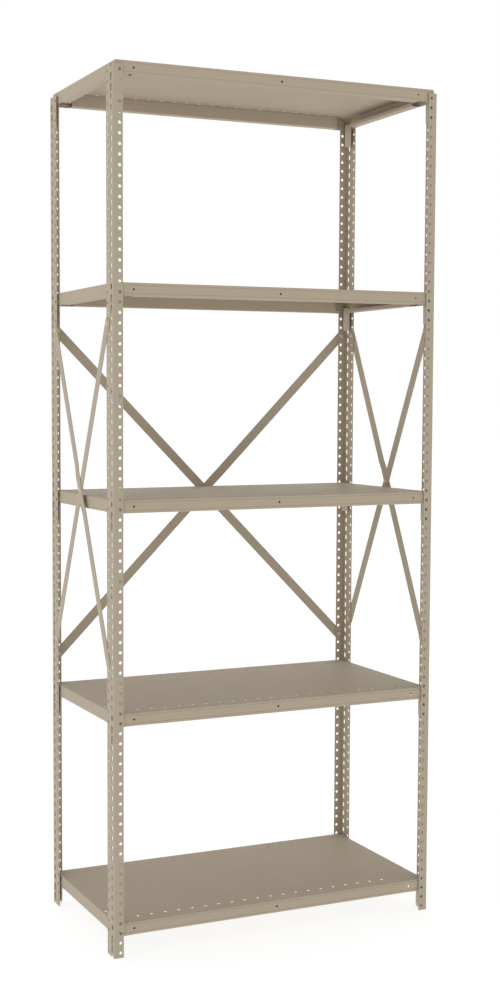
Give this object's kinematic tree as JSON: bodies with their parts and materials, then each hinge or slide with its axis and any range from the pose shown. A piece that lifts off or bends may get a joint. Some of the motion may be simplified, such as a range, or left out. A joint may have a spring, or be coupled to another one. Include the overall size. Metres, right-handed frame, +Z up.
{
  "type": "open steel shelving unit",
  "caption": "Tall open steel shelving unit: punched angle posts, lift-off pan shelves resting on hooked clips, and crossed sway braces at the back and both sides.",
  "frame": {"origin": "on the floor, under the centre of the bounding box", "axes": "+X to the right seen from the front, +Y towards the braced back, +Z up"},
  "size_m": [0.938, 0.4716, 2.2202],
  "materials": {
    "post_paint": "satin",
    "clip_paint": "satin",
    "brace_paint": "satin",
    "fastener": "satin",
    "shelf_paint": "satin"
  },
  "bodies": {
    "frame": {"post_front_left": "post_paint", "post_front_right": "post_paint", "post_rear_left": "post_paint", "post_rear_right": "post_paint", "clip_1_front_left": "clip_paint", "clip_1_front_right": "clip_paint", "clip_1_rear_left": "clip_paint", "clip_1_rear_right": "clip_paint", "clip_2_front_left": "clip_paint", "clip_2_front_right": "clip_paint", "clip_2_rear_left": "clip_paint", "clip_2_rear_right": "clip_paint", "clip_3_front_left": "clip_paint", "clip_3_front_right": "clip_paint", "clip_3_rear_left": "clip_paint", "clip_3_rear_right": "clip_paint", "clip_4_front_left": "clip_paint", "clip_4_front_right": "clip_paint", "clip_4_rear_left": "clip_paint", "clip_4_rear_right": "clip_paint", "clip_5_front_left": "clip_paint", "clip_5_front_right": "clip_paint", "clip_5_rear_left": "clip_paint", "clip_5_rear_right": "clip_paint", "back_brace_flat": "brace_paint", "back_brace_stepped": "brace_paint", "left_brace_flat": "brace_paint", "left_brace_stepped": "brace_paint", "right_brace_flat": "brace_paint", "right_brace_stepped": "brace_paint", "back_brace_bolts": "fastener", "back_brace_nuts": "fastener", "left_brace_bolts": "fastener", "left_brace_nuts": "fastener", "right_brace_bolts": "fastener", "right_brace_nuts": "fastener", "crossing_bolts": "fastener", "crossing_nuts": "fastener"},
    "shelf_1": {"shelf_1": "shelf_paint"},
    "shelf_2": {"shelf_2": "shelf_paint"},
    "shelf_3": {"shelf_3": "shelf_paint"},
    "shelf_4": {"shelf_4": "shelf_paint"},
    "shelf_5": {"shelf_5": "shelf_paint"}
  },
  "joints": [
    {"name": "lift_shelf_1", "type": "slide", "parent": "frame", "child": "shelf_1", "axis": [0, 0, 1], "range_m": [0, 0.025]},
    {"name": "lift_shelf_2", "type": "slide", "parent": "frame", "child": "shelf_2", "axis": [0, 0, 1], "range_m": [0, 0.025]},
    {"name": "lift_shelf_3", "type": "slide", "parent": "frame", "child": "shelf_3", "axis": [0, 0, 1], "range_m": [0, 0.025]},
    {"name": "lift_shelf_4", "type": "slide", "parent": "frame", "child": "shelf_4", "axis": [0, 0, 1], "range_m": [0, 0.025]},
    {"name": "lift_shelf_5", "type": "slide", "parent": "frame", "child": "shelf_5", "axis": [0, 0, 1], "range_m": [0, 0.025]}
  ]
}
